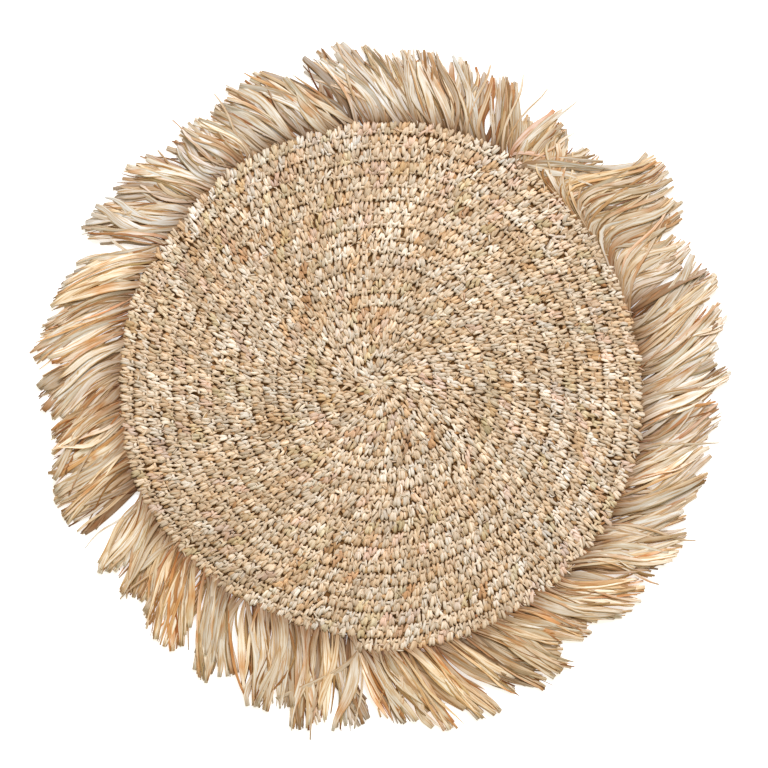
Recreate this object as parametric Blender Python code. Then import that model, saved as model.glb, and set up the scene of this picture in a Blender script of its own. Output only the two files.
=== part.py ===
"""Round raffia placemat: a mat crocheted in one spiral, with a raffia fringe knotted into its edge.

Run it with blender --background --python part.py. Lengths are metres unless a name or a column says
otherwise, and angles are degrees, counter-clockwise from +X as seen from above. The origin is the
centre of the spiral on the underside, and +Z points up.
"""

import math
import random
from collections import namedtuple

import bmesh
import bpy
from mathutils import Vector

MM = 0.001

# The mat. Its spiral grows clockwise and stops at END_ANGLE, where the edge steps in by one round.
MAT_RADIUS = 0.1455  # to the outside of the fringe's band, at the end of the spiral
BAND_WIDTH = 0.003  # the last loops of the edge, which carry the fringe
GAP = 0.0003  # between two pieces that meet
BUTTON_RADIUS = 0.0047  # the closed ring that the spiral starts from
ROUNDS = 19.5
STATIONS = 60  # points along one full round
END_ANGLE = 265.0
CREST_HEIGHT = 0.0044  # top of the stitches
SEAM_HEIGHT = 0.0032  # the groove between two rounds
BUTTON_INSET = 0.0014

SPIRAL_RADIUS = MAT_RADIUS - BAND_WIDTH - GAP
ROUND_PITCH = (SPIRAL_RADIUS - BUTTON_RADIUS) / ROUNDS
STATION_ANGLE = 360.0 / STATIONS

# How far the hand-worked edge swells past a true spiral.
Swell = namedtuple("Swell", "angle out_mm")
EDGE_SWELL = [
    Swell(0, 0.5),
    Swell(20, -0.8),
    Swell(45, 1.0),
    Swell(75, 3.0),
    Swell(100, 0.6),
    Swell(125, 1.0),
    Swell(140, -0.8),
    Swell(160, 2.0),
    Swell(180, 0.0),
    Swell(200, 3.0),
    Swell(225, 0.8),
    Swell(250, -1.6),
    Swell(275, 0.2),
    Swell(300, -0.5),
    Swell(325, 2.0),
    Swell(345, 2.0),
]

# The fringe, tuft by tuft round the edge. A tuft's strands leave the band between root_from and
# root_to and end between tip_from and tip_to, at most reach_mm from the mat's centre. run is the
# length of band that the tuft is knotted into.
Tuft = namedtuple("Tuft", "run root_from root_to tip_from tip_to reach_mm")
TUFTS = [
    Tuft(1, -8.5, -2.0, -0.5, 4.0, 189),
    Tuft(1, -2.0, 8.5, 5.0, 14.5, 192),
    Tuft(1, 8.5, 16.0, 15.5, 21.0, 190),
    Tuft(1, 16.0, 24.5, 21.5, 28.0, 184),
    Tuft(2, 25.0, 33.0, 28.5, 33.5, 190),
    Tuft(2, 33.0, 44.0, 34.0, 41.5, 193),
    Tuft(2, 44.0, 54.0, 42.5, 51.5, 171),
    Tuft(2, 54.0, 60.5, 52.5, 60.5, 173),
    Tuft(3, 61.0, 66.5, 63.5, 70.0, 180),
    Tuft(3, 66.5, 83.0, 71.0, 89.5, 182),
    Tuft(3, 83.0, 97.5, 90.0, 103.5, 187),
    Tuft(3, 97.5, 102.0, 104.5, 107.5, 175),
    Tuft(3, 102.0, 112.0, 109.0, 118.0, 182),
    Tuft(3, 112.0, 116.5, 118.5, 121.0, 175),
    Tuft(4, 119.0, 129.5, 122.0, 131.5, 174),
    Tuft(5, 131.5, 140.0, 135.0, 143.5, 183),
    Tuft(5, 140.0, 150.5, 146.0, 152.5, 180),
    Tuft(5, 150.5, 154.5, 157.5, 160.0, 177),
    Tuft(6, 155.0, 164.0, 161.0, 169.5, 180),
    Tuft(6, 164.0, 171.0, 170.5, 176.5, 189),
    Tuft(6, 171.0, 180.0, 177.5, 185.0, 184),
    Tuft(6, 180.0, 185.0, 188.5, 191.0, 178),
    Tuft(7, 185.5, 204.5, 191.5, 207.0, 184),
    Tuft(8, 206.5, 210.5, 212.5, 216.0, 181),
    Tuft(8, 210.5, 219.0, 217.5, 223.5, 178),
    Tuft(8, 219.0, 229.0, 224.5, 234.5, 182),
    Tuft(8, 229.0, 238.5, 236.5, 243.5, 184),
    Tuft(9, 240.0, 251.0, 246.5, 254.5, 185),
    Tuft(9, 251.0, 258.0, 255.5, 260.0, 194),
    Tuft(9, 258.0, 264.0, 260.5, 267.0, 186),
    Tuft(10, 266.0, 273.5, 270.5, 279.5, 182),
    Tuft(10, 273.5, 277.5, 280.5, 285.0, 190),
    Tuft(10, 277.5, 283.0, 286.0, 290.0, 191),
    Tuft(11, 283.5, 287.5, 293.0, 295.0, 186),
    Tuft(11, 287.5, 297.0, 296.0, 305.5, 188),
    Tuft(11, 297.0, 306.0, 306.5, 314.0, 177),
    Tuft(12, 306.5, 316.0, 315.0, 324.5, 183),
    Tuft(12, 316.0, 329.0, 325.5, 337.0, 186),
    Tuft(12, 329.0, 340.0, 340.0, 349.0, 184),
    Tuft(12, 340.0, 351.0, 349.5, 358.5, 186),
]

# One strand: a flat four-sided lock that lies on its underside.
STRAND_PITCH_DEG = 1.4  # room that one strand takes along the band
STRAND_FILL = 0.83  # share of that room which the strand fills
MOST_SPREAD = 1.2  # a strand's room grows no further than this where its tuft fans out
ROOT_LEAN = 1.25  # how much faster a strand leans over at its root than on average
BAND_HEIGHT = 0.0036
BAND_OVERHANG_DEG = 0.1  # band past the first and the last strand of a run
SHORTEST_SHARE = 0.93  # reach of the strands at a tuft's sides
REACH_JITTER_MM = 1.5
# Stages along a strand: share of its length, share of its full width there, height of its top.
Stage = namedtuple("Stage", "along width top_mm")
STAGES = [Stage(0.3, 1.0, 4.4), Stage(0.65, 1.0, 3.4), Stage(1.0, 0.7, 1.4)]

CROCHET_COLOUR = (0.565, 0.418, 0.282, 1.0)
FRINGE_COLOUR = (0.604, 0.440, 0.296, 1.0)
RAFFIA_ROUGHNESS = 0.62


def clear_scene():
    for old in list(bpy.data.objects):
        bpy.data.objects.remove(old)


def raffia(name, colour):
    material = bpy.data.materials.new(name)
    material.use_nodes = True
    shader = material.node_tree.nodes["Principled BSDF"]
    shader.inputs["Base Color"].default_value = colour
    shader.inputs["Roughness"].default_value = RAFFIA_ROUGHNESS
    shader.inputs["Metallic"].default_value = 0.0
    return material


def swell(angle):
    """Metres that the edge stands out past the spiral at this angle, smooth between the table's rows."""
    angle %= 360.0
    rows = [*EDGE_SWELL, Swell(EDGE_SWELL[0].angle + 360, EDGE_SWELL[0].out_mm)]
    for before, after in zip(rows, rows[1:]):
        if before.angle <= angle <= after.angle:
            share = (angle - before.angle) / (after.angle - before.angle)
            ease = share * share * (3 - 2 * share)
            return MM * (before.out_mm + ease * (after.out_mm - before.out_mm))
    return 0.0


def polar(radius, angle, height=0.0):
    turn = math.radians(angle)
    return Vector((radius * math.cos(turn), radius * math.sin(turn), height))


def swelled(radius, angle):
    """This radius of the even spiral, moved out with the swell, which grows towards the edge."""
    return radius + swell(angle) * (radius / MAT_RADIUS) ** 2


def on_mat(radius, angle, height=0.0):
    return polar(swelled(radius, angle), angle, height)


def spiral_radius(stations_back):
    """Outer radius of the spiral, this many stations back from its end."""
    return max(SPIRAL_RADIUS - ROUND_PITCH * stations_back / STATIONS, BUTTON_RADIUS)


def finished(name, bm, material):
    """A new object from a closed bmesh, flat shaded and facing out."""
    bmesh.ops.recalc_face_normals(bm, faces=bm.faces[:])
    mesh = bpy.data.meshes.new(name)
    bm.to_mesh(mesh)
    bm.free()
    mesh.materials.append(material)
    made = bpy.data.objects.new(name, mesh)
    bpy.context.scene.collection.objects.link(made)
    return made


def spiral_top(bm):
    """The ribbed top of the mat: one rib for each round, wound outwards from the button."""
    spiral_stations = round(ROUNDS * STATIONS)
    seam = []
    for back in range(spiral_stations + STATIONS):
        angle = END_ANGLE + back * STATION_ANGLE
        seam.append(bm.verts.new(on_mat(spiral_radius(back), angle, SEAM_HEIGHT)))
    button = seam[spiral_stations:]
    seam.append(button[0])
    crest = []
    for back in range(spiral_stations):
        middle = (spiral_radius(back) + spiral_radius(back + STATIONS)) / 2
        angle = END_ANGLE + back * STATION_ANGLE
        crest.append(bm.verts.new(on_mat(middle, angle, CREST_HEIGHT)))
    for back in range(spiral_stations - 1):
        inner, inner_next = seam[back + STATIONS], seam[back + STATIONS + 1]
        bm.faces.new((seam[back], seam[back + 1], crest[back + 1], crest[back]))
        bm.faces.new((crest[back], crest[back + 1], inner_next, inner))
    # The spiral starts as a point on the button's rim.
    bm.faces.new((seam[spiral_stations - 1], button[0], crest[-1]))
    bm.faces.new((crest[-1], button[0], seam[spiral_stations + STATIONS - 1]))
    middle = bm.faces.new(button)
    bmesh.ops.inset_individual(bm, faces=[middle], thickness=BUTTON_INSET)
    for corner in middle.verts:
        corner.co.z = CREST_HEIGHT


def crocheted_mat(material):
    """The whole mat as one solid: the ribbed top, an upright edge and a flat underside."""
    bm = bmesh.new()
    spiral_top(bm)
    rim = [edge for edge in bm.edges if edge.is_boundary]
    wall = bmesh.ops.extrude_edge_only(bm, edges=rim)["geom"]
    for corner in wall:
        if isinstance(corner, bmesh.types.BMVert):
            corner.co.z = 0.0
    foot = [edge for edge in wall if isinstance(edge, bmesh.types.BMEdge) and edge.is_boundary]
    bmesh.ops.contextual_create(bm, geom=foot)
    return finished("crochet_mat", bm, material)


def mix(first, second, share):
    return first + (second - first) * share


def band_radius(angle):
    """Inner radius of the fringe's band, the gap outside the spiral's last round."""
    return spiral_radius(((angle - END_ANGLE) % 360.0) / STATION_ANGLE) + GAP


class Strand:
    """The centreline and the width of one strand. place runs from 0 to 1 across its tuft."""

    def __init__(self, tuft, place, count, luck):
        self.root = mix(tuft.root_from, tuft.root_to, place)
        self.tip = mix(tuft.tip_from, tuft.tip_to, place)
        self.start_radius = swelled(band_radius(self.root) + BAND_WIDTH, self.root)
        from_middle = abs(2 * place - 1)
        reach_mm = tuft.reach_mm * mix(1.0, SHORTEST_SHARE, from_middle**2)
        self.reach = MM * (reach_mm - luck.uniform(0, REACH_JITTER_MM))
        self.half_root_deg = STRAND_FILL * (tuft.root_to - tuft.root_from) / count / 2
        self.half_tip_deg = STRAND_FILL * (tuft.tip_to - tuft.tip_from) / count / 2

    def point(self, along):
        lean = along * mix(ROOT_LEAN, 1.0, along)
        return polar(mix(self.start_radius, self.reach, along), mix(self.root, self.tip, lean))

    def half_width(self, behind, along):
        """Half the width across the strand. It leans, so it takes more room than it is wide."""
        here = self.point(along)
        ahead = (here - self.point(behind)).normalized()
        half_room = math.radians(mix(self.half_root_deg, self.half_tip_deg, along)) * here.length
        most = math.radians(self.half_root_deg) * self.start_radius * MOST_SPREAD
        return min(half_room, most) * ahead.dot(here.normalized())


def tuft_strands(tuft, luck):
    count = max(2, round((tuft.root_to - tuft.root_from) / STRAND_PITCH_DEG))
    return [Strand(tuft, (i + 0.5) / count, count, luck) for i in range(count)]


def band_outline(bm, strands, first, last):
    """The band's flat face, and the pair of corners that each strand grows from."""
    stations = [END_ANGLE + back * STATION_ANGLE for back in range(-2 * STATIONS, STATIONS)]
    inner = [first, *(angle for angle in stations if first < angle < last), last]
    corners = [bm.verts.new(on_mat(band_radius(angle), angle)) for angle in reversed(inner)]

    def outer(angle):
        return bm.verts.new(on_mat(band_radius(angle) + BAND_WIDTH, angle))

    corners.append(outer(first))
    roots = []
    for strand in strands:
        root = [outer(strand.root + side * strand.half_root_deg) for side in (-1, 1)]
        corners += root
        roots.append(root)
    corners.append(outer(last))
    return bm.faces.new(corners), roots


def grow_strand(bm, face, strand):
    """Extrudes the band's face along the strand, stage by stage."""
    behind = 0.0
    for stage in STAGES:
        face = bmesh.ops.extrude_discrete_faces(bm, faces=[face])["faces"][0]
        middle = face.calc_center_median()
        centre = strand.point(stage.along)
        ahead = centre - strand.point(mix(behind, stage.along, 0.5))
        across = ahead.cross(Vector((0, 0, 1))).normalized()
        half = strand.half_width(behind, stage.along) * stage.width
        for corner in face.verts:
            side = math.copysign(half, (corner.co - middle).dot(across))
            on_top = corner.co.z > middle.z
            corner.co = centre + across * side
            corner.co.z = stage.top_mm * MM if on_top else 0.0
        behind = stage.along


def fringe_run(number, material, luck):
    """One length of band with the strands that are knotted into it."""
    tufts = [tuft for tuft in TUFTS if tuft.run == number]
    strands = [strand for tuft in tufts for strand in tuft_strands(tuft, luck)]
    first = tufts[0].root_from - BAND_OVERHANG_DEG
    last = tufts[-1].root_to + BAND_OVERHANG_DEG
    bm = bmesh.new()
    underside, roots = band_outline(bm, strands, first, last)
    raised = bmesh.ops.extrude_face_region(bm, geom=[underside], use_keep_orig=True)
    for corner in raised["geom"]:
        if isinstance(corner, bmesh.types.BMVert):
            corner.co.z = BAND_HEIGHT
    for (left, right), strand in zip(roots, strands):
        shared = set(left.link_faces) & set(right.link_faces)
        wall = next(face for face in shared if face is not underside)
        grow_strand(bm, wall, strand)
    return finished(f"fringe_run_{number:02d}", bm, material)


def main():
    clear_scene()
    luck = random.Random(7)
    crocheted_mat(raffia("raffia_crochet", CROCHET_COLOUR))
    fringe_material = raffia("raffia_fringe", FRINGE_COLOUR)
    for number in range(1, TUFTS[-1].run + 1):
        fringe_run(number, fringe_material, luck)


main()
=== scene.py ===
"""Dresses the round raffia placemat: crochet stitches wound in one spiral, and a ribbon fringe.

Lengths are metres unless a name or a column says otherwise. Angles are degrees, counter-clockwise
from +X as seen from above. Rounds are counted from the middle of the mat outwards. A stitch's own
millimetres run along its round, outwards from the middle of the mat, and up.
"""

import math
from collections import namedtuple

import bmesh
import bpy
import numpy as np
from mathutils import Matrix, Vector


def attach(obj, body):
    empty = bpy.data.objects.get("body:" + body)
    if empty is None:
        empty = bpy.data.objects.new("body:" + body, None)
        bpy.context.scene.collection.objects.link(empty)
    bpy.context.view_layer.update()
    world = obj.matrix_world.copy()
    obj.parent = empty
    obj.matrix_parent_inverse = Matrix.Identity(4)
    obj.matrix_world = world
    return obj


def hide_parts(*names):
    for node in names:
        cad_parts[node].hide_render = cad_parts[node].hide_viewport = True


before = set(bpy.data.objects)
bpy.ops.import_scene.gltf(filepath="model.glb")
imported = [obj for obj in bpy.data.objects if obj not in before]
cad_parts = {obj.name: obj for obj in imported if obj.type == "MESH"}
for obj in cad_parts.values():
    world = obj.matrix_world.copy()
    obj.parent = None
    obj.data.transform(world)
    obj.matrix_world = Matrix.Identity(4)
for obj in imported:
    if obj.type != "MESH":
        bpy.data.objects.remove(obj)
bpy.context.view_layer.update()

MM = 0.001
LUCK = np.random.default_rng(11)

# The crochet. It grows clockwise, and its last round ends in a step at END_ANGLE.
MAT_RADIUS = 0.1455
END_ANGLE = 265.0
ROUND_PITCH = 0.00705
STITCH_PITCH = 0.00505
START_RADIUS = 0.0014  # the ring that the first round is worked into

# How far the hand-worked edge swells past a true spiral.
Swell = namedtuple("Swell", "angle out_mm")
EDGE_SWELL = [
    Swell(0, 0.5),
    Swell(20, -0.8),
    Swell(45, 1.0),
    Swell(75, 3.0),
    Swell(100, 0.6),
    Swell(125, 1.0),
    Swell(140, -0.8),
    Swell(160, 2.0),
    Swell(180, 0.0),
    Swell(200, 3.0),
    Swell(225, 0.8),
    Swell(250, -1.6),
    Swell(275, 0.2),
    Swell(300, -0.5),
    Swell(325, 2.0),
    Swell(345, 2.0),
]

# The fringe, tuft by tuft. Its ribbons leave the edge between root_from and root_to, end between
# tip_from and tip_to, and reach about reach_mm from the mat's centre. sweep is how far they follow
# the edge before they turn outwards: 1 is as far as EDGEWAYS says.
Tuft = namedtuple("Tuft", "root_from root_to tip_from tip_to reach_mm sweep", defaults=[0.0])
TUFTS = [
    Tuft(-8.5, -2.0, -0.5, 4.0, 189),
    Tuft(-2.0, 8.5, 5.0, 14.5, 192),
    Tuft(8.5, 16.0, 15.5, 21.0, 190),
    Tuft(16.5, 25.0, 21.5, 28.0, 184, 0.5),
    Tuft(24.5, 32.0, 28.5, 33.5, 190, 0.9),
    Tuft(31.0, 43.0, 33.0, 40.5, 193, 1.2),
    Tuft(42.0, 52.0, 42.0, 50.5, 171, 1.2),
    Tuft(49.0, 61.0, 52.5, 60.5, 173),
    Tuft(61.0, 66.5, 63.5, 70.0, 180),
    Tuft(66.5, 83.0, 71.0, 89.5, 182),
    Tuft(83.0, 97.5, 90.0, 103.5, 184),
    Tuft(97.5, 102.0, 104.5, 107.5, 175),
    Tuft(102.0, 112.0, 109.0, 118.0, 182),
    Tuft(112.0, 116.5, 118.5, 121.0, 175),
    Tuft(119.0, 129.5, 122.0, 131.5, 174),
    Tuft(130.0, 138.5, 135.0, 143.5, 183),
    Tuft(138.5, 147.5, 146.0, 152.5, 180),
    Tuft(147.5, 151.0, 157.5, 160.0, 177),
    Tuft(151.0, 161.5, 161.0, 169.5, 180),
    Tuft(161.5, 168.5, 170.5, 176.5, 188),
    Tuft(168.5, 178.0, 177.5, 185.0, 183),
    Tuft(178.0, 184.5, 188.5, 191.0, 178),
    Tuft(184.5, 204.5, 191.5, 207.0, 184),
    Tuft(206.5, 210.5, 212.5, 216.0, 181),
    Tuft(210.5, 219.0, 217.5, 223.5, 178),
    Tuft(219.0, 229.0, 224.5, 234.5, 182),
    Tuft(229.0, 238.5, 236.5, 243.5, 184),
    Tuft(240.0, 251.0, 246.5, 254.5, 185),
    Tuft(251.0, 258.0, 255.5, 260.0, 191),
    Tuft(258.0, 264.5, 260.5, 267.0, 186),
    Tuft(265.5, 273.5, 270.5, 279.5, 182),
    Tuft(273.5, 277.5, 280.5, 285.0, 190),
    Tuft(277.5, 283.0, 286.0, 290.0, 190),
    Tuft(283.0, 287.5, 293.0, 295.0, 186),
    Tuft(287.5, 297.0, 296.0, 305.5, 187),
    Tuft(297.0, 306.0, 306.5, 314.0, 177),
    Tuft(306.0, 316.0, 315.0, 324.5, 183),
    Tuft(316.0, 329.0, 325.5, 337.0, 185),
    Tuft(329.0, 340.0, 340.0, 349.0, 184),
    Tuft(340.0, 351.5, 349.5, 358.5, 185),
]


def linear(red, green, blue):
    """A colour given as sRGB from 0 to 255, in the shader's linear numbers."""
    shares = np.array([red, green, blue]) / 255
    return np.where(shares <= 0.04045, shares / 12.92, ((shares + 0.055) / 1.055) ** 2.4)


# Raffia dries to many shades. The last two columns say how often each turns up.
Shade = namedtuple("Shade", "name colour in_crochet in_fringe")
SHADES = [
    Shade("bleached", linear(252, 247, 240), 0.22, 0.21),
    Shade("cream", linear(246, 231, 212), 0.32, 0.24),
    Shade("straw", linear(234, 213, 187), 0.24, 0.17),
    Shade("grey straw", linear(223, 207, 187), 0.10, 0.07),
    Shade("rose straw", linear(240, 213, 200), 0.04, 0.10),
    Shade("green straw", linear(226, 212, 174), 0.04, 0.02),
    Shade("tan", linear(228, 192, 148), 0.03, 0.12),
    Shade("rust", linear(208, 156, 102), 0.01, 0.09),
]


# Where one batch of raffia was worked in: its share of light and of warmth, in percent.
Batch = namedtuple("Batch", "from_round to_round angle_from angle_to light warm")
CROCHET_BATCHES = [
    Batch(0, 2, -30, 30, -9, 3),
    Batch(0, 2, 90, 120, -13, 0),
    Batch(0, 2, 150, 180, 9, 0),
    Batch(2, 4, 90, 150, 8, -5),
    Batch(2, 4, 210, 240, -6, 0),
    Batch(4, 6, 0, 30, 7, -7),
    Batch(4, 6, 60, 90, 0, 6),
    Batch(4, 6, 210, 240, 8, 0),
    Batch(4, 6, 270, 300, -9, 4),
    Batch(6, 8, 30, 150, -5, 5),
    Batch(6, 8, 240, 265, 17, -7),
    Batch(6, 8, 270, 300, 7, -3),
    Batch(8, 10, 0, 60, -9, 3),
    Batch(8, 10, 180, 240, -9, 7),
    Batch(8, 10, 265, 300, 9, 1),
    Batch(8, 10, 330, 360, -9, 1),
    Batch(10, 12, 0, 90, 5, 2),
    Batch(10, 12, 300, 345, 6, -5),
    Batch(12, 14, 30, 90, 9, 0),
    Batch(12, 14, 150, 180, 8, -2),
    Batch(12, 14, 235, 270, 7, 1),
    Batch(12, 14, 330, 360, 7, -6),
    Batch(14, 16, 0, 120, -10, 8),
    Batch(14, 16, 200, 240, -7, 4),
    Batch(14, 16, 330, 360, 3, -7),
    Batch(16, 18, 90, 150, -8, 2),
    Batch(16, 18, 150, 180, 7, 0),
    Batch(16, 18, 210, 240, -9, 2),
    Batch(16, 18, 240, 265, 8, 0),
    Batch(16, 18, 300, 345, 6, -6),
    Batch(18, 21, 90, 150, -2, -6),
    Batch(18, 21, 150, 180, 10, -2),
    Batch(18, 21, 210, 240, -7, 4),
    Batch(18, 21, 300, 345, 8, -6),
]


# ---------------------------------------------------------------- camera, light and table


def camera_above(centre, width):
    """A long lens straight above centre, which sees this width of the table."""
    data = bpy.data.cameras.new("camera")
    made = bpy.data.objects.new("camera", data)
    bpy.context.scene.collection.objects.link(made)
    height = 1.8
    made.location = (centre[0], centre[1], height)
    data.sensor_width = 36.0
    data.lens = data.sensor_width * height / width
    data.clip_start = 0.05
    bpy.context.scene.camera = made


def soft_light(name, place, size, power, colour):
    """A square lamp that faces the middle of the mat."""
    data = bpy.data.lights.new(name, "AREA")
    data.size = size
    data.energy = power
    data.color = colour
    made = bpy.data.objects.new(name, data)
    made.location = place
    made.rotation_euler = (-Vector(place)).to_track_quat("-Z", "Y").to_euler()
    bpy.context.scene.collection.objects.link(made)


def studio():
    """A pale warm room with one large window high beyond the mat. Its colours stay as they are."""
    world = bpy.data.worlds.new("studio")
    world.use_nodes = True
    background = world.node_tree.nodes["Background"]
    background.inputs["Color"].default_value = (1.0, 0.955, 0.77, 1.0)
    background.inputs["Strength"].default_value = 0.62
    bpy.context.scene.world = world
    soft_light(
        "window",
        place=(0.38, 1.45, 1.45),
        size=0.75,
        power=38.5,
        colour=(0.965, 1.0, 1.12),
    )
    bpy.context.scene.view_settings.view_transform = "Standard"
    bpy.context.scene.view_settings.look = "None"


def table():
    """A white table top of five metres, which glows a little so that it stays white."""
    half_side = 2.5
    bm = bmesh.new()
    bmesh.ops.create_grid(bm, x_segments=1, y_segments=1, size=half_side)
    mesh = bpy.data.meshes.new("table")
    bm.to_mesh(mesh)
    bm.free()
    made = bpy.data.objects.new("table", mesh)
    bpy.context.scene.collection.objects.link(made)
    material = bpy.data.materials.new("white_table")
    material.use_nodes = True
    shader = material.node_tree.nodes["Principled BSDF"]
    shader.inputs["Base Color"].default_value = (0.93, 0.93, 0.93, 1.0)
    shader.inputs["Roughness"].default_value = 0.8
    shader.inputs["Emission Color"].default_value = (1.0, 1.0, 1.0, 1.0)
    shader.inputs["Emission Strength"].default_value = 0.55
    mesh.materials.append(material)
    return made


# ---------------------------------------------------------------- raffia


def raffia_material(name, groove, roughness, sheen, line_shade, stain_shade, stain_end):
    """Raffia in the piece's own dye, with fibres and stains along its strands.

    groove is the depth of the fibres. line_shade and stain_shade are the shares of the dye's light
    that the darkest fibres and stains keep, and a higher stain_end makes the stains wider.
    """
    material = bpy.data.materials.new(name)
    material.use_nodes = True
    nodes, links = material.node_tree.nodes, material.node_tree.links
    shader = nodes["Principled BSDF"]
    shader.inputs["Sheen Weight"].default_value = sheen
    shader.inputs["Specular IOR Level"].default_value = 0.35

    dye = nodes.new("ShaderNodeAttribute")
    dye.attribute_name = "dye"
    strand = nodes.new("ShaderNodeUVMap")
    strand.uv_map = "strand"

    def fibres(across, along, detail):
        """Noise with this many cells to the millimetre across the strand and along it."""
        stretch = nodes.new("ShaderNodeMapping")
        stretch.inputs["Scale"].default_value = (across, along, 1.0)
        links.new(strand.outputs["UV"], stretch.inputs["Vector"])
        noise = nodes.new("ShaderNodeTexNoise")
        noise.noise_dimensions = "2D"
        noise.inputs["Detail"].default_value = detail
        noise.inputs["Scale"].default_value = 1.0
        links.new(stretch.outputs["Vector"], noise.inputs["Vector"])
        return noise.outputs["Fac"]

    def shade_of(value, dark, low, high):
        """From the dark shade, where the value is low, to none, where it is high."""
        ramp = nodes.new("ShaderNodeValToRGB")
        ramp.color_ramp.elements[0].position = low
        ramp.color_ramp.elements[0].color = (*dark, 1.0)
        ramp.color_ramp.elements[1].position = high
        ramp.color_ramp.elements[1].color = (1.0, 1.0, 1.0, 1.0)
        links.new(value, ramp.inputs["Fac"])
        return ramp.outputs["Color"]

    def darken(first, second):
        """One colour seen through the other."""
        mix = nodes.new("ShaderNodeMix")
        mix.data_type = "RGBA"
        mix.blend_type = "MULTIPLY"
        mix.inputs["Factor"].default_value = 1.0
        links.new(first, mix.inputs["A"])
        links.new(second, mix.inputs["B"])
        return mix.outputs["Result"]

    fine = fibres(across=5.0, along=0.16, detail=3.0)
    broad = fibres(across=1.1, along=0.07, detail=2.0)
    lines = shade_of(fine, line_shade, low=0.30, high=0.54)
    stains = shade_of(broad, stain_shade, low=0.30, high=stain_end)
    colour = darken(darken(dye.outputs["Color"], lines), stains)
    links.new(colour, shader.inputs["Base Color"])

    # A stained part is a little glossier than the rest.
    gloss = nodes.new("ShaderNodeMapRange")
    gloss.inputs["To Min"].default_value = roughness - 0.12
    gloss.inputs["To Max"].default_value = roughness + 0.15
    links.new(broad, gloss.inputs["Value"])
    links.new(gloss.outputs["Result"], shader.inputs["Roughness"])

    bump = nodes.new("ShaderNodeBump")
    bump.inputs["Strength"].default_value = 0.7
    bump.inputs["Distance"].default_value = groove
    links.new(fine, bump.inputs["Height"])
    links.new(bump.outputs["Normal"], shader.inputs["Normal"])
    return material


# A strand's cross-section: corners across and up, in half widths and half heights, and how far the
# dye is clear of painted crease shade there, from 0 in a crease to 1.
Corner = namedtuple("Corner", "across up dye")
FOLDED = [
    Corner(-1.0, 0.0, 0.5),
    Corner(-0.55, 0.80, 1.0),
    Corner(0.08, 0.68, 0.8),
    Corner(0.6, 0.82, 1.0),
    Corner(1.0, 0.0, 0.5),
    Corner(0.0, -0.9, 0.0),
]
ROUNDED = [
    Corner(-1.0, 0.0, 0.2),
    Corner(-0.5, 0.85, 1.0),
    Corner(0.5, 0.85, 1.0),
    Corner(1.0, 0.0, 0.2),
    Corner(0.0, -0.9, 0.0),
]
SPLIT = [Corner(-1.0, -0.5, 0.3), Corner(0.0, 0.6, 1.0), Corner(1.0, -0.5, 0.3)]
RIBBON = [
    Corner(-1.0, 0.0, 0.1),
    Corner(-0.65, 0.8, 1.0),
    Corner(0.05, 0.4, 0.7),
    Corner(0.65, 0.9, 1.0),
    Corner(1.0, 0.0, 0.1),
]
PAINTED_CREASE_SHADE = np.array([0.70, 0.49, 0.21])  # painted crease shade: the share of the dye's light that a crease keeps
FILLER_PAINTED_SHADE = np.array([0.70, 0.54, 0.36])  # and the painted shade that the turns below the stitches keep

# How far over the fibres' pattern, across and along, each strand starts from the one before it.
PATTERN_STEP_MM = (37.0, 11.0)


def strand_shape(section, rings):
    """A straight closed strand along +Y, one unit from ring to ring, with this cross-section."""
    bm = bmesh.new()
    made = bmesh.ops.create_circle(bm, radius=1.0, segments=len(section))
    for corner, place in zip(made["verts"], section):
        corner.co = (place.across, 0.0, place.up)
    ring = bm.edges[:]
    for _ in range(rings - 1):
        grown = bmesh.ops.extrude_edge_only(bm, edges=ring)["geom"]
        ring = [item for item in grown if isinstance(item, bmesh.types.BMEdge)]
        corners = [item for item in grown if isinstance(item, bmesh.types.BMVert)]
        bmesh.ops.translate(bm, verts=corners, vec=(0.0, 1.0, 0.0))
    bmesh.ops.holes_fill(bm, edges=bm.edges[:], sides=len(section))
    bmesh.ops.recalc_face_normals(bm, faces=bm.faces[:])
    mesh = bpy.data.meshes.new("strand_shape")
    bm.to_mesh(mesh)
    bm.free()
    return mesh


def repeated(shape, name, points):
    """A mesh with the shape's faces once for each row of points."""
    count, corner_count = points.shape[:2]
    loop_corner = np.empty(len(shape.loops), dtype=np.int32)
    shape.loops.foreach_get("vertex_index", loop_corner)
    loop_start = np.empty(len(shape.polygons), dtype=np.int32)
    shape.polygons.foreach_get("loop_start", loop_start)
    own = np.arange(count)[:, None]
    mesh = bpy.data.meshes.new(name)
    mesh.vertices.add(count * corner_count)
    mesh.vertices.foreach_set("co", points.astype(np.float32).ravel())
    mesh.loops.add(count * len(loop_corner))
    mesh.loops.foreach_set("vertex_index", (loop_corner + own * corner_count).ravel())
    mesh.polygons.add(count * len(loop_start))
    mesh.polygons.foreach_set("loop_start", (loop_start + own * len(loop_corner)).ravel())
    mesh.update(calc_edges=True)
    mesh.validate()
    mesh.shade_smooth()
    return mesh, loop_corner


def unit(vectors):
    """The vectors at a length of 1."""
    return vectors / np.linalg.norm(vectors, axis=-1, keepdims=True)


def across_and_above(line, roll):
    """The ways across and above a strand at each of its rings."""
    ahead = unit(np.gradient(line, axis=1))
    across = unit(np.cross(ahead, (0.0, 0.0, 1.0)))
    above = np.cross(across, ahead)
    if roll is None:
        return across, above
    turn = roll[..., None]
    return (
        across * np.cos(turn) + above * np.sin(turn),
        above * np.cos(turn) - across * np.sin(turn),
    )


def sharpen_margins(mesh, section, section_corner):
    """Marks the edges that run along the outermost corners of each strand as sharp."""
    ends = np.empty(2 * len(mesh.edges), dtype=np.int32)
    mesh.edges.foreach_get("vertices", ends)
    corner = section_corner[ends.reshape(-1, 2) % len(section_corner)]
    across = np.array([place.across for place in section])
    margin = (corner[:, 0] == corner[:, 1]) & (np.abs(across[corner[:, 0]]) == 1.0)
    mesh.attributes.new("sharp_edge", "BOOLEAN", "EDGE").data.foreach_set("value", margin)


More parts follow.
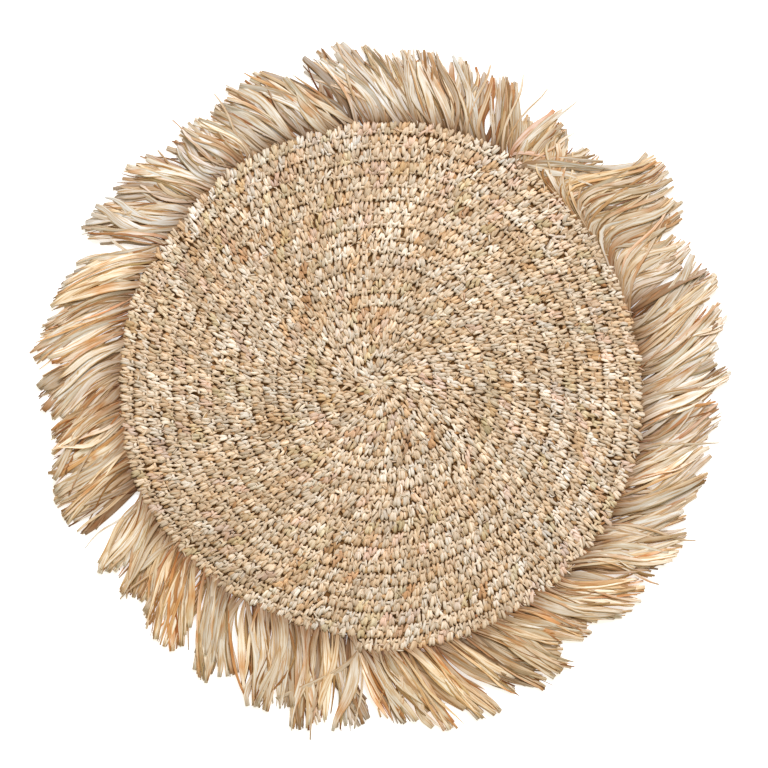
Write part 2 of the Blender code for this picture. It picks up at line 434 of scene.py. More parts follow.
def strands(name, section, line, half_width, half_height, dye, material, roll=None, flat=False):
    """One piece of many strands, each bent along its own row of line.

    line is (strands, rings, 3). half_width, half_height and roll, in radians, are (strands, rings),
    and dye is (strands, 3) or (strands, rings, 3). A flat strand has two sharp margins.
    """
    count, rings = line.shape[:2]
    shape = strand_shape(section, rings)
    corners = np.array([corner.co for corner in shape.vertices])
    ring = np.rint(corners[:, 1]).astype(int)
    across, above = across_and_above(line, roll)
    wide = corners[:, 0] * half_width[:, ring]
    high = corners[:, 2] * half_height[:, ring]
    points = line[:, ring] + across[:, ring] * wide[..., None] + above[:, ring] * high[..., None]
    mesh, loop_corner = repeated(shape, name, points)

    steps = np.linalg.norm(np.diff(line, axis=1), axis=2)
    along = np.concatenate([np.zeros((count, 1)), np.cumsum(steps, axis=1)], axis=1)
    pattern_mm = np.stack([wide, along[:, ring]], axis=2) / MM
    pattern_mm += np.arange(count)[:, None, None] * PATTERN_STEP_MM
    layer = mesh.uv_layers.new(name="strand")
    layer.data.foreach_set("uv", pattern_mm[:, loop_corner].astype(np.float32).ravel())

    places = np.array([(place.across, place.up) for place in section])
    section_corner = np.argmin(np.linalg.norm(corners[:, None, ::2] - places, axis=2), axis=1)
    if flat:
        sharpen_margins(mesh, section, section_corner)

    # Painted crease shade: the colour darkens towards the section's creases and margins.
    clear = np.array([place.dye for place in section])[section_corner][:, None]
    per_ring = dye if dye.ndim == 3 else np.repeat(dye[:, None], rings, axis=1)
    tinted = per_ring[:, ring] * (PAINTED_CREASE_SHADE + (1 - PAINTED_CREASE_SHADE) * clear)
    rgba = np.concatenate([tinted, np.ones((count, len(corners), 1))], axis=2)
    colour = mesh.attributes.new("dye", "FLOAT_COLOR", "POINT")
    colour.data.foreach_set("color", rgba.astype(np.float32).ravel())

    mesh.materials.append(material)
    made = bpy.data.objects.new(name, mesh)
    bpy.context.scene.collection.objects.link(made)
    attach(made, "root")
    return made


# ---------------------------------------------------------------- the spiral


def swell(angle):
    """Metres that the edge stands out past the spiral, smooth between the rows of EDGE_SWELL."""
    rows = [*EDGE_SWELL, Swell(EDGE_SWELL[0].angle + 360, EDGE_SWELL[0].out_mm)]
    angles = np.array([row.angle for row in rows])
    outs = np.array([row.out_mm for row in rows]) * MM
    angle = np.mod(angle, 360.0)
    at = np.clip(np.searchsorted(angles, angle, side="right") - 1, 0, len(rows) - 2)
    share = (angle - angles[at]) / (angles[at + 1] - angles[at])
    ease = share * share * (3 - 2 * share)
    return outs[at] + ease * (outs[at + 1] - outs[at])


def swelled(radius, angle):
    """A radius of the true spiral as it is on the mat, where the swell fades towards the middle."""
    return radius + swell(angle) * (radius / MAT_RADIUS) ** 2


def polar(radius, angle, height):
    """Points at this distance and angle from the mat's middle, and at this height."""
    turn = np.radians(angle)
    return np.stack([radius * np.cos(turn), radius * np.sin(turn), height + 0 * turn], axis=-1)


def edge_radius(angle):
    """The stitched edge, which steps in by one round where the spiral ends."""
    share = np.mod(angle - END_ANGLE, 360.0) / 360.0
    return swelled(MAT_RADIUS - ROUND_PITCH * share, angle)


Stitches = namedtuple("Stitches", "inside angle lean_mm slip_mm")


def drift(count, spread, keep):
    """A value for each stitch that wanders slowly from one stitch to the next."""
    values = LUCK.normal(0.0, spread * math.sqrt(1 - keep * keep), count)
    for i in range(1, count):
        values[i] += keep * values[i - 1]
    return values


def stitch_places():
    """Every stitch, from the spiral's end to its start: its round's inner side, and its angle."""
    inside, angle = [], []
    turned = 1.0  # degrees back from the spiral's end
    while True:
        radius = MAT_RADIUS - ROUND_PITCH * (1 + turned / 360.0)
        if radius < START_RADIUS:
            break
        inside.append(radius)
        angle.append(END_ANGLE + turned)
        middle = radius + ROUND_PITCH / 2
        turned += math.degrees(STITCH_PITCH * LUCK.uniform(0.96, 1.04) / middle)
    count = len(inside)
    lean = drift(count, spread=0.5, keep=0.8)
    slip = drift(count, spread=0.15, keep=0.8)
    return Stitches(np.array(inside), np.array(angle), lean, slip)


def on_stitch(stitches, side_mm, out_mm, high_mm):
    """Points given in each stitch's own millimetres, as metres on the mat."""
    radius = stitches.inside[:, None] + out_mm * MM
    tightest = 0.003  # so that the first round doesn't close over the middle
    angle = stitches.angle[:, None] + np.degrees(side_mm * MM / np.maximum(radius, tightest))
    return polar(swelled(radius, angle), angle, high_mm * MM)


def pick_shades(column, count):
    """This many colours, as often as the column of SHADES says."""
    chances = np.array([getattr(shade, column) for shade in SHADES])
    colours = np.array([shade.colour for shade in SHADES])
    return colours[LUCK.choice(len(SHADES), size=count, p=chances / chances.sum())]


def yarn_dye(stitches):
    """The dye along the yarn: a strand of raffia lasts for a few stitches, and a batch for many."""
    count = len(stitches.inside)
    lasting = np.cumsum(LUCK.random(count) < 0.5)
    shades = pick_shades("in_crochet", lasting[-1] + 1)[lasting]
    other = pick_shades("in_crochet", count)
    mixed = 0.30 * shades + 0.70 * other
    mixed = mixed * LUCK.normal(0.975, 0.07, (count, 1)).clip(0.79, 1.14)
    rounds = (stitches.inside + ROUND_PITCH / 2) / ROUND_PITCH + LUCK.normal(0, 0.35, count)
    angle = stitches.angle + LUCK.normal(0, 3.0, count)
    for batch in CROCHET_BATCHES:
        span = batch.angle_to - batch.angle_from
        within = np.mod(angle - batch.angle_from, 360.0) < span
        within &= (rounds >= batch.from_round) & (rounds < batch.to_round)
        mixed[within] *= batch_tint(batch)
    return mixed


def batch_tint(batch):
    """What a row's light and warm, in percent, do to a dye."""
    warmth = np.array([1.0, 1.0 - 0.004 * batch.warm, 1.0 - 0.011 * batch.warm])
    return (1 + 0.0065 * batch.light) * warmth


def spreads(count):
    """A maker that gives each strand, or each of its rings, its own small difference."""

    def luck(spread, rings=1):
        return LUCK.normal(0.0, spread, (count, rings)).clip(-2.2 * spread, 2.2 * spread)

    return luck


def crowding(stitches):
    """Stitches near the middle of the mat are narrower than the rest."""
    return np.clip((stitches.inside + 0.006) / 0.014, 0.5, 1.0)[:, None]


# The turns of yarn that show in one stitch, in its own millimetres: where each starts and ends,
# half its width, and how far its middle stands outwards (arch) and up (lift). Two legs open
# outwards, two arms of the loop close over the gap to the next pair, and a short bar lies across
# the legs' foot.
Turn = namedtuple(
    "Turn", "side_from out_from high_from side_to out_to high_to half_mm arch_mm lift_mm"
)
TURNS = [
    Turn(-0.45, 1.4, 2.0, -1.15, 6.5, 2.3, 1.10, 0.0, 0.9),
    Turn(0.45, 1.4, 2.0, 1.15, 6.6, 2.3, 1.10, 0.0, 0.9),
    Turn(1.15, -1.0, 2.2, 2.15, 3.5, 2.1, 0.92, 0.0, 0.8),
    Turn(3.85, -1.0, 2.2, 2.85, 3.5, 2.1, 0.92, 0.0, 0.8),
    Turn(-1.1, 0.5, 2.5, 1.1, 0.5, 2.5, 0.82, 0.3, 0.5),
]


def stitch_turns(name, stitches, dye, material):
    """The stitches' own turns, each leaning and slipping with its neighbours and a little alone."""
    rings = 5
    along = np.linspace(0.0, 1.0, rings)
    arch = np.sin(np.pi * along)
    leaf = np.sin(np.pi * (0.17 + 0.66 * along)) ** 0.5  # slimmer at both ends
    clear = np.sin(np.pi * (0.13 + 0.74 * along)) ** 0.45  # and darker there with painted crease shade
    count = len(stitches.inside)
    luck = spreads(count)
    narrow = crowding(stitches)
    unruly = np.where(LUCK.random((count, 1)) < 0.15, 2.2, 0.6)
    pull_mm = 1.5  # how far a V's open end leans clockwise, the way the mat grows
    lean = stitches.lean_mm[:, None] + unruly * luck(0.45) - pull_mm
    slip = stitches.slip_mm[:, None] + unruly * luck(0.20)
    plump = 1 + luck(0.06)
    lines, widths, heights, dyes, rolls = [], [], [], [], []
    for turn in TURNS:
        reach = 0.5 + (along - 0.5) * (1 + luck(0.08))
        out_mm = turn.out_from + (turn.out_to - turn.out_from) * reach + slip + unruly * luck(0.40)
        out_mm = out_mm + turn.arch_mm * (1 + luck(0.4)) * arch + luck(0.3) * along
        side_mm = turn.side_from + (turn.side_to - turn.side_from) * reach
        swing = luck(0.30) * (2 * along - 1) + luck(0.25) * arch + luck(0.12)
        side_mm = side_mm + lean * (out_mm / 7.0 - 0.3) + unruly * swing + luck(0.07, rings)
        high_mm = turn.high_from + (turn.high_to - turn.high_from) * along + luck(0.25)
        high_mm = high_mm + (turn.lift_mm + luck(0.12)) * arch**0.8
        lines.append(on_stitch(stitches, narrow * side_mm, out_mm, high_mm))
        uneven = 1 + luck(0.09) + luck(0.07, rings)
        widths.append(narrow * 0.97 * turn.half_mm * leaf * plump * uneven * MM)
        heights.append(0.92 * leaf * (1 + luck(0.08) + luck(0.07, rings)) * MM)
        rolls.append(np.radians(luck(15) + luck(16) * along + luck(8, rings)))
        shaded = dye * LUCK.normal(1.0, 0.09, (count, 1)).clip(0.8, 1.16)
        # Painted shade: each turn is darker towards both of its ends.
        dyes.append(shaded[:, None] * (PAINTED_CREASE_SHADE + (1 - PAINTED_CREASE_SHADE) * clear[:, None]))
    return strands(
        name,
        FOLDED,
        np.concatenate(lines),
        np.concatenate(widths),
        np.concatenate(heights),
        np.concatenate(dyes),
        material,
        np.concatenate(rolls),
        flat=True,
    )


def slim_ends(along):
    """How thick a short turn is: whole in its middle, at 0, and less towards its ends, at 0.5."""
    return np.cos(np.pi * 0.8 * along) ** 0.5


def fillers(name, stitches, dye, material):
    """Turns of the yarn that lie lower, in any direction, under the gap between two Vs."""
    along = np.linspace(-0.5, 0.5, 4)
    count = len(stitches.inside)
    luck = spreads(count)
    turn = LUCK.uniform(-1.3, 1.3, (count, 1))
    long_mm = LUCK.uniform(3.0, 4.4, (count, 1))
    side_mm = crowding(stitches) * (2.5 + luck(0.3) + long_mm * np.sin(turn) * along)
    out_mm = 4.6 + luck(0.6) + long_mm * np.cos(turn) * along
    high_mm = 1.9 + luck(0.3) + 0.3 * np.cos(np.pi * along)
    line = on_stitch(stitches, side_mm, out_mm, high_mm)
    thick = (1.15 + luck(0.16)) * slim_ends(along) * MM
    return strands(name, ROUNDED, line, thick, thick * 0.8, dye, material)


def loose_fibres(name, stitches, dye, material):
    """Split fibres that stand off the yarn: thin, short, and lying any way over the stitches."""
    along = np.linspace(-0.5, 0.5, 4)
    count = len(stitches.inside)
    luck = spreads(count)
    turn = luck(0.7)
    long_mm = LUCK.uniform(2.6, 5.0, (count, 1))
    bend_mm = luck(0.5) * np.cos(np.pi * along)
    beside_mm = LUCK.uniform(-2.5, 2.5, (count, 1))
    side_mm = crowding(stitches) * (beside_mm + long_mm * np.sin(turn) * along + bend_mm)
    out_mm = LUCK.uniform(0.5, 6.5, (count, 1)) + long_mm * np.cos(turn) * along
    high_mm = 3.2 + luck(0.25) + 0.4 * np.cos(np.pi * along)
    line = on_stitch(stitches, side_mm, out_mm, high_mm)
    thick = (0.42 + luck(0.10)) * slim_ends(along) * MM
    return strands(name, SPLIT, line, thick, thick * 0.9, dye, material)


HEART_TURNS = 22
GOLDEN_ANGLE = 137.5


def heart(name, dye, material):
    """The start ring, drawn shut: short turns of yarn over each other in the middle of the mat."""
    along = np.linspace(-0.5, 0.5, 5)
    count = len(dye)
    luck = spreads(count)
    order = np.arange(count)[:, None]
    away_mm = 6.2 * np.sqrt((order + 0.3) / count)
    turn = np.radians(GOLDEN_ANGLE * order)
    heading = turn + luck(0.9)
    long_mm = LUCK.uniform(3.4, 4.6, (count, 1)) * along
    high_mm = 1.9 + luck(0.25) + 0.9 * np.cos(np.pi * along)
    x_mm = away_mm * np.cos(turn) + long_mm * np.cos(heading)
    y_mm = away_mm * np.sin(turn) + long_mm * np.sin(heading)
    line = np.stack([x_mm, y_mm, high_mm], axis=-1) * MM
    thick = (1.1 + luck(0.12)) * slim_ends(along) * MM
    return strands(name, FOLDED, line, thick, thick * 0.85, dye, material)


def ridges(name, stitches, dye, material):
    """The back of the mat: each stitch shows there as one short ridge along the round."""
    along = np.linspace(-1.0, 1.0, 5)
    luck = spreads(len(stitches.inside))
    side_mm = crowding(stitches) * ((2.9 + luck(0.3)) * along + luck(0.3))
    out_mm = 3.4 + luck(0.3) + luck(0.4) * along
    wide_mm = (1.0 + luck(0.12)) * np.cos(np.pi * 0.42 * along) ** 0.5
    thick_mm = np.minimum(wide_mm * 0.6, 0.75)
    line = on_stitch(stitches, side_mm, out_mm, thick_mm + 0.05)
    return strands(name, ROUNDED, line, wide_mm * MM, thick_mm * MM, dye, material)


def groundwork(material):
    """The closed sheet under the stitches, dark with painted shade: what shows through the holes
    between them.

    It is spun as a disc of radius 1 with a small hole, closed, and then fitted to the mat's edge.
    """
    spokes, rings = 96, 44
    hole = 0.002
    from_edge = 0.0022
    underside, middle, half_rib = 0.0007, 0.0014, 0.0004
    bm = bmesh.new()
    row = [bm.verts.new((hole + (1.0 - hole) * i / (rings - 1), 0.0, 0.0)) for i in range(rings)]
    for near, far in zip(row, row[1:]):
        bm.edges.new((near, far))
    bmesh.ops.spin(
        bm,
        geom=bm.verts[:] + bm.edges[:],
        axis=(0, 0, 1),
        cent=(0, 0, 0),
        angle=math.tau,
        steps=spokes,
        use_merge=True,
    )
    bmesh.ops.remove_doubles(bm, verts=bm.verts[:], dist=1e-6)
    rim = [edge for edge in bm.edges if edge.is_boundary and edge.verts[0].co.length < 2 * hole]
    bmesh.ops.contextual_create(bm, geom=rim)
    top = bm.faces[:]
    bottom = bmesh.ops.extrude_face_region(bm, geom=top, use_keep_orig=True)["geom"]
    below = {item for item in bottom if isinstance(item, bmesh.types.BMVert)}
    for corner in bm.verts:
        angle = math.degrees(math.atan2(corner.co.y, corner.co.x))
        share = math.hypot(corner.co.x, corner.co.y)
        radius = float(edge_radius(angle)) - from_edge
        rib = math.cos(math.tau * (share * radius / ROUND_PITCH + (angle - END_ANGLE) / 360.0))
        height = underside if corner in below else middle - half_rib * rib
        turn = math.radians(angle)
        corner.co = (share * radius * math.cos(turn), share * radius * math.sin(turn), height)
    bmesh.ops.recalc_face_normals(bm, faces=bm.faces[:])
    mesh = bpy.data.meshes.new("groundwork")
    bm.to_mesh(mesh)
    bm.free()
    mesh.shade_smooth()
    mesh.materials.append(material)
    made = bpy.data.objects.new("groundwork", mesh)
    bpy.context.scene.collection.objects.link(made)
    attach(made, "root")
    return made


def shadow_raffia():
    """The ground's raffia, mottled dark as it is in the shade of the stitches."""
    material = bpy.data.materials.new("raffia_in_shade")
    material.use_nodes = True
    nodes, links = material.node_tree.nodes, material.node_tree.links
    place = nodes.new("ShaderNodeTexCoord")
    noise = nodes.new("ShaderNodeTexNoise")
    noise.inputs["Scale"].default_value = 420.0
    links.new(place.outputs["Object"], noise.inputs["Vector"])
    ramp = nodes.new("ShaderNodeValToRGB")
    ramp.color_ramp.elements[0].color = (*linear(98, 63, 20), 1.0)
    ramp.color_ramp.elements[1].color = (*linear(138, 93, 38), 1.0)
    links.new(noise.outputs["Fac"], ramp.inputs["Fac"])
    shader = nodes["Principled BSDF"]
    shader.inputs["Roughness"].default_value = 0.8
    links.new(ramp.outputs["Color"], shader.inputs["Base Color"])
    return material


# ---------------------------------------------------------------- the fringe

RIBBON_RINGS = 11
RIBBON_SPACING = 0.00041  # along the edge, over all the layers
RIBBONS_IN_WISP = 9
EDGEWAYS = 6.0  # degrees that a ribbon with a sweep of 1 follows the edge before it turns outwards

# Half the ribbons' width: how many there are of each, their tint, and how far they are bleached.
Width = namedtuple("Width", "share from_mm to_mm light warm pale")
WIDTHS = [
    Width(0.14, 2.2, 3.1, 12, -12, 0.8),
    Width(0.38, 1.2, 2.2, 12, -6, 0.65),
    Width(0.28, 0.7, 1.2, -3, 18, 0.1),
    Width(0.20, 0.38, 0.8, -66, 44, 0.0),
]

# Bundles of ribbons that cross the tufts.
Crossing = namedtuple("Crossing", "root_from root_to tip_from tip_to reach_mm count sweep")
CROSSINGS = [
    Crossing(14.0, 24.0, 29.0, 35.0, 183, 14, 1.0),
    Crossing(20.0, 31.0, 34.0, 41.0, 182, 26, 1.4),
    Crossing(30.0, 38.0, 40.0, 47.0, 168, 18, 1.5),
    Crossing(47.0, 58.0, 36.0, 46.0, 172, 12, 0.3),
    Crossing(36.0, 44.0, 46.0, 56.0, 164, 12, 1.2),
]

# Ribbons that stand apart from the tufts. Each is half_mm wide to either side, and bows sideways
# by bend_mm.
Stray = namedtuple("Stray", "root tip reach_mm half_mm bend_mm shade")
STRAYS = [
    Stray(266.0, 252.0, 179, 1.7, 1.5, "cream"),
    Stray(55.0, 51.5, 174, 1.5, -1.5, "bleached"),
    Stray(57.5, 55.0, 189, 1.3, 0.5, "bleached"),
    Stray(57.0, 56.5, 180, 2.0, 1.5, "bleached"),
    Stray(59.0, 57.5, 177, 1.7, -1.0, "rose straw"),
    Stray(60.0, 60.5, 185, 0.56, 1.0, "straw"),
    Stray(60.5, 64.5, 186, 0.84, -1.0, "cream"),
    Stray(62.0, 65.4, 176, 2.2, 0.5, "rust"),
    Stray(65.5, 69.6, 178, 3.0, 0.3, "rust"),
    Stray(66.0, 69.5, 178, 1.4, -0.5, "straw"),
    Stray(66.8, 68.4, 173, 3.1, 0.0, "rust"),
    Stray(68.0, 71.0, 184, 0.63, 1.5, "straw"),
    Stray(70.5, 82.0, 170, 1.6, 0.5, "rust"),
    Stray(79.5, 91.0, 172, 1.8, -0.5, "rust"),
    Stray(88.0, 99.5, 172, 1.6, 0.5, "rust"),
    Stray(91.0, 96.7, 188, 0.7, -1.0, "straw"),
    Stray(115.5, 120.0, 181, 0.7, 2.5, "cream"),
    Stray(114.5, 118.7, 167, 1.12, 1.0, "rust"),
    Stray(123.0, 128.0, 182, 0.63, 1.0, "grey straw"),
    Stray(148.0, 152.0, 178, 0.84, 2.5, "bleached"),
    Stray(204.0, 208.5, 182, 0.7, -1.5, "bleached"),
    Stray(214.5, 220.5, 182, 0.56, 3.0, "straw"),
    Stray(247.0, 251.3, 187, 0.84, 1.0, "cream"),
    Stray(256.0, 259.0, 196, 0.7, -1.0, "straw"),
    Stray(263.0, 266.5, 187, 0.7, 3.0, "cream"),
    Stray(318.0, 325.0, 187, 0.84, 1.0, "bleached"),
    Stray(327.5, 333.7, 192, 0.7, -1.5, "straw"),
    Stray(343.5, 350.5, 188, 0.84, 1.0, "cream"),
    Stray(58.0, 42.0, 159, 1.5, -2.5, "bleached"),
    Stray(43.0, 57.5, 156, 1.6, -2.0, "bleached"),
    Stray(60.0, 47.5, 164, 1.4, 2.0, "rose straw"),
    Stray(41.0, 52.0, 161, 1.6, 3.0, "cream"),
    Stray(56.0, 45.0, 172, 1.4, 1.0, "bleached"),
]

# The fringe's tone, sector by sector round the mat: its share of light and of warmth. It has no
# rounds, so the first two columns are 0.
FRINGE_SECTOR_TONES = [
    Batch(0, 0, 20, 60, -30, 15),
    Batch(0, 0, 60, 90, -15, -2),
    Batch(0, 0, 90, 120, -15, -6),
    Batch(0, 0, 120, 150, -8, -6),
    Batch(0, 0, 150, 180, 14, 2),
    Batch(0, 0, 180, 240, 3, 9),
    Batch(0, 0, 240, 270, 11, 0),
    Batch(0, 0, 270, 300, -3, 18),
    Batch(0, 0, 300, 330, 7, 7),
    Batch(0, 0, 330, 360, 8, -4),
]


# A column for each ribbon's measure. layer is its place in the pile, from 0 at the table to 1.
Ribbons = namedtuple("Ribbons", "root tip reach bend_mm half_mm sweep layer dye")


def fringe_dye(root, classes):
    """Dye of each ribbon from its shade, its width and its place round the mat."""
    count = len(root)
    dye = pick_shades("in_fringe", count) * LUCK.normal(0.90, 0.10, (count, 1)).clip(0.64, 1.12)
    bleached = linear(252, 245, 232)
    for index, width in enumerate(WIDTHS):
        own = classes == index
        dye[own] = (dye[own] * (1 - width.pale) + 0.80 * bleached * width.pale) * batch_tint(width)
    angle = root + LUCK.normal(0, 4.0, count)
    for batch in FRINGE_SECTOR_TONES:
        span = batch.angle_to - batch.angle_from
        dye[np.mod(angle - batch.angle_from, 360.0) < span] *= batch_tint(batch)
    return dye


def tuft_ribbons(tuft, count):
    """The ribbons of one tuft, drawn together in wisps that share a bend, a length and a tint."""
    wisps = max(2, round(count / RIBBONS_IN_WISP))
    wisp = np.sort(LUCK.integers(0, wisps, count))
    middle = (np.arange(wisps) + LUCK.uniform(0.2, 0.8, wisps)) / wisps
    degree = 1 / (tuft.tip_to - tuft.tip_from)  # as a share of the tuft's width at its tips
    swept = min(tuft.sweep, 1)
    wisp_tip = (middle + LUCK.normal(0, min(0.15, 1.3 * degree), wisps)).clip(0.02, 0.98)
    wisp_full = 1 - 0.22 * LUCK.random(wisps) ** 3.0
    wisp_bend = LUCK.normal(0, 2.2, wisps)

    place = (middle[wisp] + LUCK.normal(0, 1.0 / wisps, count)).clip(0.0, 1.0)
    end = (wisp_tip[wisp] + LUCK.normal(0, min(0.08, 0.5 * degree), count)).clip(-0.03, 1.03)
    loose = LUCK.random(count) < 0.25
    astray = LUCK.normal(0, min(0.25, 2.2 * degree), loose.sum())
    end[loose] = (end[loose] + astray).clip(-0.06, 1.06)
    root = tuft.root_from + (tuft.root_to - tuft.root_from) * place
    root = root - LUCK.exponential(0.6, wisps)[wisp].clip(0, 3)
    root = root - LUCK.exponential(0.9, count).clip(0, 4)
    tip = tuft.tip_from + (tuft.tip_to - tuft.tip_from) * end
    within = 1 - 0.03 * (2 * end - 1) ** 2  # a tuft's end is a little rounded
    full = wisp_full[wisp] * (1.02 - 0.30 * LUCK.random(count) ** 3.4)
    longest = 1.045  # past the tuft's reach, because most of its ribbons end short of it
    edge = edge_radius(root)
    reach = edge + (tuft.reach_mm * MM * within - edge) * full * longest
    bend = wisp_bend[wisp] + LUCK.normal(0, 1.2, count)
    classes = LUCK.choice(len(WIDTHS), size=count, p=[width.share for width in WIDTHS])
    low = np.array([width.from_mm for width in WIDTHS])[classes]
    high = np.array([width.to_mm for width in WIDTHS])[classes]
    half = LUCK.uniform(low, high) * (1 - 0.15 * swept)
    layer = LUCK.random(wisps)[wisp] * 0.7 + LUCK.random(count) * 0.3
    own_sweep = tuft.sweep * LUCK.uniform(0.6, 1.2, count) + LUCK.uniform(-0.2, 0.2, wisps)[wisp]
    warm = LUCK.normal(0, 1, (wisps, 1)) * (0.0, 0.02, 0.06)
    tint = LUCK.normal(1, 0.10 + 0.06 * swept, (wisps, 1)) * (1 - warm)
    dye = fringe_dye(root, classes) * tint[wisp]
    return Ribbons(root, tip, reach, bend, half, own_sweep, layer, dye)


def stray_ribbons():
    """The ribbons of STRAYS. The rust ones lie low in the pile, and the others high."""
    columns = (np.array(column) for column in zip(*(stray[:5] for stray in STRAYS)))
    root, tip, reach_mm, half_mm, bend_mm = columns
    colours = {shade.name: shade.colour for shade in SHADES}
    dye = 0.85 * np.array([colours[stray.shade] for stray in STRAYS])
    sweep = np.full(len(STRAYS), 0.3)
    layer = np.array([0.35 if stray.shade == "rust" else 0.85 for stray in STRAYS])
    return Ribbons(root, tip, reach_mm * MM, bend_mm, half_mm, sweep, layer, dye)


def all_ribbons():
    groups = []
    for tuft in TUFTS:
        arc = math.radians(tuft.root_to - tuft.root_from) * MAT_RADIUS
        spacing = RIBBON_SPACING * (1 + 0.35 * tuft.sweep)
        groups.append(tuft_ribbons(tuft, round(arc / spacing)))
    for crossing in CROSSINGS:
        groups.append(tuft_ribbons(crossing, crossing.count))
    groups.append(stray_ribbons())
    return Ribbons(*(np.concatenate(column) for column in zip(*groups)))


def ribbon_course(ribbons, along, phase, start, luck):
    """Each ribbon's angle and radius at every ring, from its start under the edge to its tip."""
    root, tip, reach, bend_mm, _, sweep, _ = (column[:, None] for column in ribbons[:-1])
    shortest = 0.012
    out = along ** (1 + 0.55 * np.minimum(sweep, 1.5))
    radius = start + (np.maximum(reach, start + shortest) - start) * out
    edgeways = 6.75 * along * (1 - along) ** 2  # 1 at a third of the way, and 0 at both ends
    angle = root + (tip - root) * along + EDGEWAYS * sweep * edgeways
    side_mm = bend_mm * np.sin(np.pi * along * (1 + 0.7 * phase)) * (0.3 + 0.7 * along)
    side_mm = side_mm + luck(0.5) * np.sin(np.pi * 3.2 * along + 6 * phase) * along
    return angle + np.degrees(side_mm * MM / radius), radius


def ribbon_halves(ribbons, along, phase, luck):
    """Half of each ribbon's width: pinched in its knot, and cut blunt or split fine at its tip."""
    count = len(ribbons.root)
    open_up = 0.42 + 0.58 * np.clip(along / 0.5, 0, 1) ** 0.9
    blunt = LUCK.uniform(0.15, 0.85, (count, 1)) ** 1.2
    taper = np.clip((1 - along) / LUCK.uniform(0.12, 0.5, (count, 1)), 0, 1)
    uneven = 1 + luck(0.12) * np.sin(7 * along + 6 * phase)
    return ribbons.half_mm[:, None] * open_up * (blunt + (1 - blunt) * taper) * uneven


def ribbon_rolls(ribbons, along, luck):
    """How far each ribbon lies over on its side, in radians. One in five has a twist somewhere."""
    count = len(ribbons.root)
    twist_at = LUCK.uniform(0.15, 0.9, (count, 1))
    twist = np.where(LUCK.random((count, 1)) < 0.22, LUCK.uniform(-60, 60, (count, 1)), 0.0)
    twist = twist * np.exp(-(((along - twist_at) / 0.25) ** 2))
    twist = twist / np.maximum(ribbons.half_mm[:, None], 1.0)
    return np.radians(luck(17) + luck(18) * along + twist)


def ribbon_heights(ribbons, along, clearance_mm, luck):
    """Each ribbon's height over the table, by its layer. One in ten curls up at its tip."""
    count = len(ribbons.root)
    layer = ribbons.layer[:, None]
    root_mm = 1.0 + 2.4 * layer
    tip_mm = 0.35 + 1.3 * layer + np.abs(luck(0.3))
    lift_mm = (0.3 + 1.3 * layer) * np.sin(np.pi * along) ** 1.2
    curl_mm = np.where(LUCK.random((count, 1)) < 0.10, LUCK.uniform(0.8, 3.0, (count, 1)), 0.0)
    high_mm = root_mm + (tip_mm - root_mm) * along + lift_mm + curl_mm * along**4
    return np.maximum(high_mm, clearance_mm)


def ribbon_dyes(ribbons, along):
    """Dye at every ring, with painted shade deep in the pile and at the root, and with rusty tips
    and spots.
    """
    count = len(ribbons.root)
    deep = np.array([0.30, 0.145, 0.025])
    rust = np.array([0.82, 0.54, 0.32])
    shown = np.clip(1.35 * ribbons.layer[:, None] + 0.35 * along**2, 0, 1)[:, :, None]
    from_root = np.clip(0.10 + along / 0.4, 0, 1)[None, :, None]
    dye = ribbons.dye[:, None] * (deep + (1 - deep) * shown) * (deep + (1 - deep) * from_root)
    rusty = (LUCK.random((count, 1)) < 0.05) * np.clip((along - 0.8) / 0.15, 0, 1)
    spot = (along - LUCK.uniform(0.1, 0.9, (count, 1))) / LUCK.uniform(0.06, 0.2, (count, 1))
    rusty = rusty + (LUCK.random((count, 1)) < 0.25) * np.exp(-(spot**2))
    return dye * (1 - np.minimum(rusty, 1)[..., None] * (1 - rust))


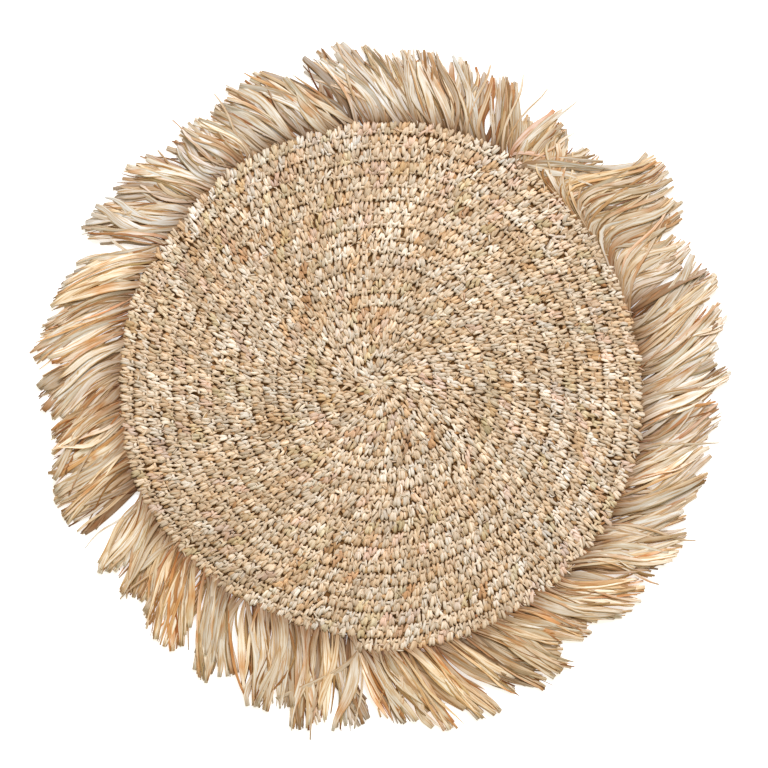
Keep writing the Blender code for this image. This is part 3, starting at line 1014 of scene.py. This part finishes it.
def fringe(material):
    """The whole fringe as two pieces: the lower half of its ribbons, and the upper half."""
    ribbons = all_ribbons()
    count = len(ribbons.root)
    along = np.linspace(0.0, 1.0, RIBBON_RINGS)
    luck = spreads(count)
    start = edge_radius(ribbons.root)[:, None] - LUCK.uniform(0.0012, 0.0048, (count, 1))
    phase = LUCK.random((count, 1))
    angle, radius = ribbon_course(ribbons, along, phase, start, luck)
    half_mm = ribbon_halves(ribbons, along, phase, luck)
    roll = ribbon_rolls(ribbons, along, luck)
    thick_mm = 0.12 + 0.07 * half_mm
    clearance_mm = half_mm * np.abs(np.sin(roll)) + thick_mm + 0.1
    high_mm = ribbon_heights(ribbons, along, clearance_mm, luck)
    line = polar(radius, angle, high_mm * MM)
    dye = ribbon_dyes(ribbons, along)

    pieces = []
    upwards = np.argsort(ribbons.layer)
    for name, rows in (
        ("fringe_under", upwards[: count // 2]),
        ("fringe_over", upwards[count // 2 :]),
    ):
        piece = strands(
            name,
            RIBBON,
            line[rows],
            half_mm[rows] * MM,
            thick_mm[rows] * MM,
            dye[rows],
            material,
            roll[rows],
            flat=True,
        )
        pieces.append(piece)
    return pieces


# ---------------------------------------------------------------- the mat, put together


def main():
    camera_above(centre=(0.0033, 0.0005), width=0.417)
    studio()
    floor = table()
    crochet = raffia_material(
        "crocheted_raffia",
        groove=0.00022,
        roughness=0.58,
        sheen=0.15,
        line_shade=(0.78, 0.66, 0.52),
        stain_shade=(0.81, 0.71, 0.60),
        stain_end=0.62,
    )
    ribbon = raffia_material(
        "raffia_ribbon",
        groove=0.00006,
        roughness=0.5,
        sheen=0.1,
        line_shade=(0.87, 0.75, 0.60),
        stain_shade=(0.76, 0.56, 0.34),
        stain_end=0.53,
    )

    stitches = stitch_places()
    dye = yarn_dye(stitches)
    for name, rows in zip(
        ("stitches_outer", "stitches_middle", "stitches_inner"),
        np.array_split(np.arange(len(stitches.inside)), 3),
    ):
        own = Stitches(*(column[rows] for column in stitches))
        stitch_turns(name, own, dye[rows], crochet)
    # The fillers lie lower, so their dye is darkened with painted shade.
    fillers("stitch_fillers", stitches, yarn_dye(stitches) * FILLER_PAINTED_SHADE, crochet)
    loose_fibres("loose_fibres", stitches, yarn_dye(stitches), crochet)
    ridges("back_ridges", stitches, yarn_dye(stitches), crochet)
    heart("start_ring", dye[-HEART_TURNS:], crochet)
    ground = groundwork(shadow_raffia())
    strands_out = fringe(ribbon)

    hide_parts("crochet_mat")
    runs = [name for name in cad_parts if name.startswith("fringe_run")]
    for piece in strands_out:
        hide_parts(*runs)


main()
